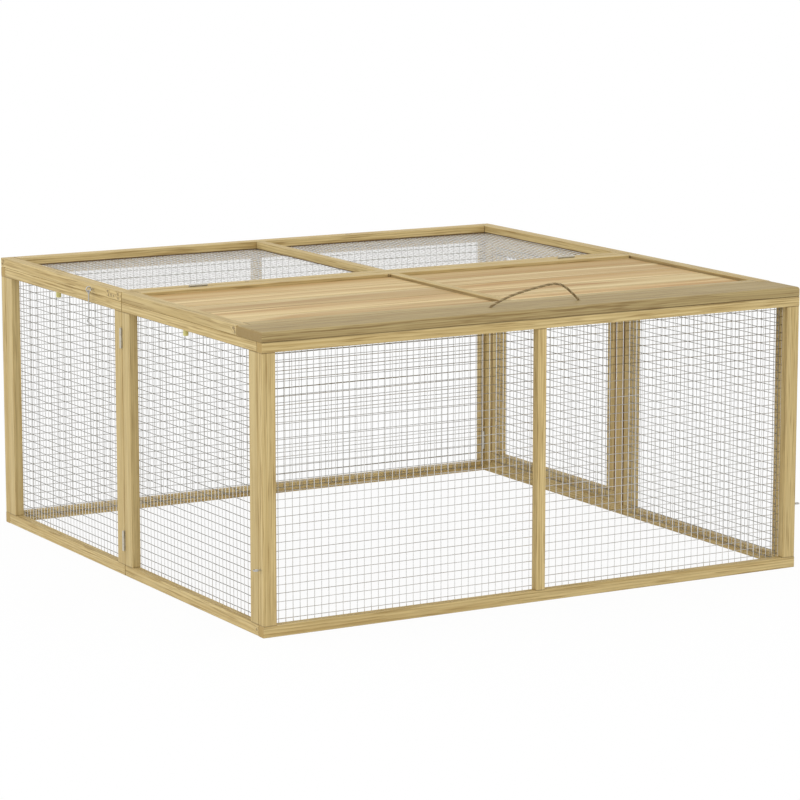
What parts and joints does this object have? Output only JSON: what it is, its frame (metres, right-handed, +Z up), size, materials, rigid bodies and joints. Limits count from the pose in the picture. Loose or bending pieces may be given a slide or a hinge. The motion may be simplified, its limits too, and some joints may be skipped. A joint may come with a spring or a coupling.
{
  "type": "folding rabbit hutch",
  "caption": "Low square rabbit run of timber frames and wire mesh with folding side walls, a lift-off mesh roof and a boarded front lid with a rope handle.",
  "frame": {"origin": "centre of the footprint, on the floor", "axes": "+Z up, +X to the right along the front, +Y from the front to the back"},
  "size_m": [0.9758, 0.943, 0.4801],
  "materials": {
    "frame_wood": "planed pale softwood",
    "lid_boards": "planed softwood boards",
    "front_board": "planed softwood, greyer",
    "peg_wood": "yellowish dowel",
    "mesh_wire": "galvanised wire",
    "zinc": "zinc plated",
    "rope": "twisted cord"
  },
  "bodies": {
    "back_panel": {"back_top_rail": "frame_wood", "back_bottom_rail": "frame_wood", "back_stiles": "frame_wood", "back_mesh": "mesh_wire", "back_mullion": "frame_wood", "back_hinge_leaves": "zinc"},
    "left_rear_panel": {"left_rear_top_rail": "frame_wood", "left_rear_bottom_rail": "frame_wood", "left_rear_stiles": "frame_wood", "left_rear_mesh": "mesh_wire", "left_rear_peg": "peg_wood", "left_rear_hinge_leaves": "zinc"},
    "left_front_panel": {"left_front_top_rail": "frame_wood", "left_front_bottom_rail": "frame_wood", "left_front_stiles": "frame_wood", "left_front_mesh": "mesh_wire", "left_front_peg": "peg_wood", "left_front_hinge_leaves": "zinc"},
    "right_rear_panel": {"right_rear_top_rail": "frame_wood", "right_rear_bottom_rail": "frame_wood", "right_rear_stiles": "frame_wood", "right_rear_mesh": "mesh_wire", "right_rear_peg": "peg_wood", "right_rear_hinge_leaves": "zinc", "right_rear_inner_top_rail": "frame_wood", "right_rear_inner_bottom_rail": "frame_wood", "right_rear_inner_stiles": "frame_wood"},
    "right_front_panel": {"right_front_top_rail": "frame_wood", "right_front_bottom_rail": "frame_wood", "right_front_stiles": "frame_wood", "right_front_mesh": "mesh_wire", "right_front_peg": "peg_wood", "right_front_hinge_leaves": "zinc"},
    "front_panel": {"front_top_rail": "frame_wood", "front_bottom_rail": "frame_wood", "front_stiles": "frame_wood", "front_mesh": "mesh_wire", "front_mullion": "frame_wood", "front_hinge_leaves": "zinc", "front_screw_eyes": "zinc"},
    "rear_roof": {"roof_side_rails": "frame_wood", "roof_front_rail": "frame_wood", "roof_back_rail": "frame_wood", "roof_divider": "frame_wood", "roof_mesh": "mesh_wire", "roof_screw_eyes": "zinc", "roof_hinge_leaves": "zinc"},
    "front_lid": {"lid_side_rails": "frame_wood", "lid_back_rail": "frame_wood", "lid_front_rail": "frame_wood", "lid_divider": "frame_wood", "lid_left_boards": "lid_boards", "lid_right_boards": "lid_boards", "lid_front_board": "front_board", "lid_hinge_leaves": "zinc", "rope_handle": "rope", "rope_knots": "rope"},
    "left_hook": {"left_hook": "zinc"},
    "right_hook": {"right_hook": "zinc"}
  },
  "joints": [
    {"name": "left_rear_fold", "type": "hinge", "parent": "back_panel", "child": "left_rear_panel", "pos_m": [-0.4578, 0.4543, 0], "axis": [0, 0, 1], "range_deg": [0, 90]},
    {"name": "left_front_fold", "type": "hinge", "parent": "left_rear_panel", "child": "left_front_panel", "pos_m": [-0.4772, 0, 0], "axis": [0, 0, 1], "range_deg": [-180, 0]},
    {"name": "front_panel_fold", "type": "hinge", "parent": "left_front_panel", "child": "front_panel", "pos_m": [-0.4578, -0.4543, 0], "axis": [0, 0, 1], "range_deg": [0, 90]},
    {"name": "right_rear_fold", "type": "hinge", "parent": "back_panel", "child": "right_rear_panel", "pos_m": [0.4578, 0.4543, 0], "axis": [0, 0, 1], "range_deg": [-90, 0]},
    {"name": "right_front_fold", "type": "hinge", "parent": "right_rear_panel", "child": "right_front_panel", "pos_m": [0.4772, 0, 0], "axis": [0, 0, 1], "range_deg": [0, 180]},
    {"name": "roof_lift", "type": "slide", "parent": "back_panel", "child": "rear_roof", "axis": [0, 0, 1], "range_m": [0, 0.3]},
    {"name": "lid_hinge", "type": "hinge", "parent": "rear_roof", "child": "front_lid", "pos_m": [0, 0, 0.4522], "axis": [-1, 0, 0], "range_deg": [0, 180], "deforming": ["rope_handle"]},
    {"name": "left_hook_swing", "type": "hinge", "parent": "rear_roof", "child": "left_hook", "pos_m": [-0.483, 0.104, 0.4385], "axis": [1, 0, 0], "range_deg": [-90, 90]},
    {"name": "right_hook_swing", "type": "hinge", "parent": "rear_roof", "child": "right_hook", "pos_m": [0.483, 0.104, 0.4385], "axis": [1, 0, 0], "range_deg": [-90, 90]}
  ],
  "couplings": [
    {"joint": "left_front_fold", "follows": "left_rear_fold", "ratio": -2},
    {"joint": "front_panel_fold", "follows": "left_rear_fold", "ratio": 1},
    {"joint": "right_rear_fold", "follows": "left_rear_fold", "ratio": -1},
    {"joint": "right_front_fold", "follows": "left_rear_fold", "ratio": 2}
  ]
}
